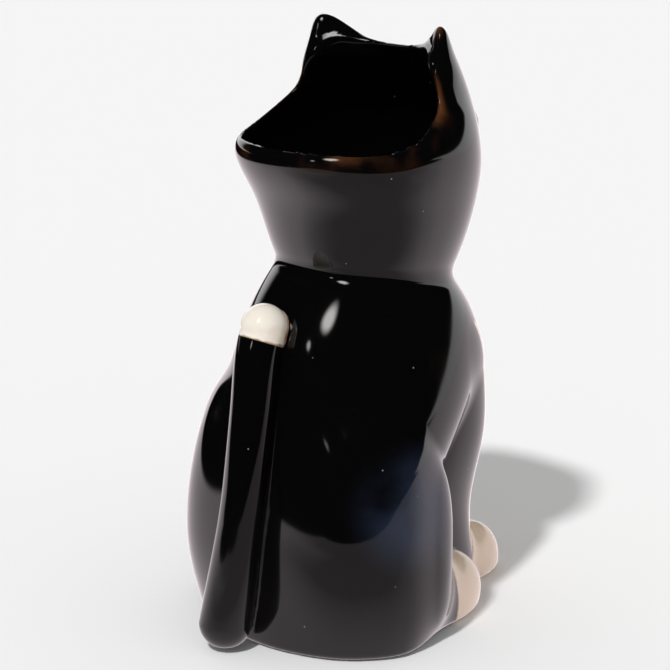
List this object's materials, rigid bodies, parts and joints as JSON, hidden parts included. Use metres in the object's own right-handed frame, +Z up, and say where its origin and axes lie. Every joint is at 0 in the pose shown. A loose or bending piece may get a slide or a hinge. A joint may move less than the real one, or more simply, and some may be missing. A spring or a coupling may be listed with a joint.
{
  "type": "cat vase",
  "caption": "Hollow glazed vase in the form of a seated cat, with the head open at the back as the mouth and a tail laid up the spine.",
  "frame": {"origin": "on the standing face, on the cat's middle plane, under the middle of the belly", "axes": "+Z up, the cat faces -Y, and its left side is +X"},
  "size_m": [0.1238, 0.1625, 0.2514],
  "materials": {
    "black_glaze": "high gloss black glaze that breaks brown on edges",
    "white_glaze": "gloss cream white glaze",
    "bare_clay": "unglazed matt clay",
    "nose_glaze": "gloss dusty pink glaze",
    "eye_glaze": "gloss amber glaze"
  },
  "bodies": {
    "root": {"base_slab": "bare_clay", "torso_shell": "black_glaze", "head_bowl": "black_glaze", "left_ear": "black_glaze", "right_ear": "black_glaze", "left_haunch": "black_glaze", "right_haunch": "black_glaze", "left_foreleg": "black_glaze", "right_foreleg": "black_glaze", "left_fore_paw": "white_glaze", "right_fore_paw": "white_glaze", "left_hind_paw": "white_glaze", "right_hind_paw": "white_glaze", "tail": "black_glaze", "tail_tip": "white_glaze", "muzzle": "white_glaze", "nose": "nose_glaze", "left_eye": "eye_glaze", "right_eye": "eye_glaze"}
  },
  "joints": []
}
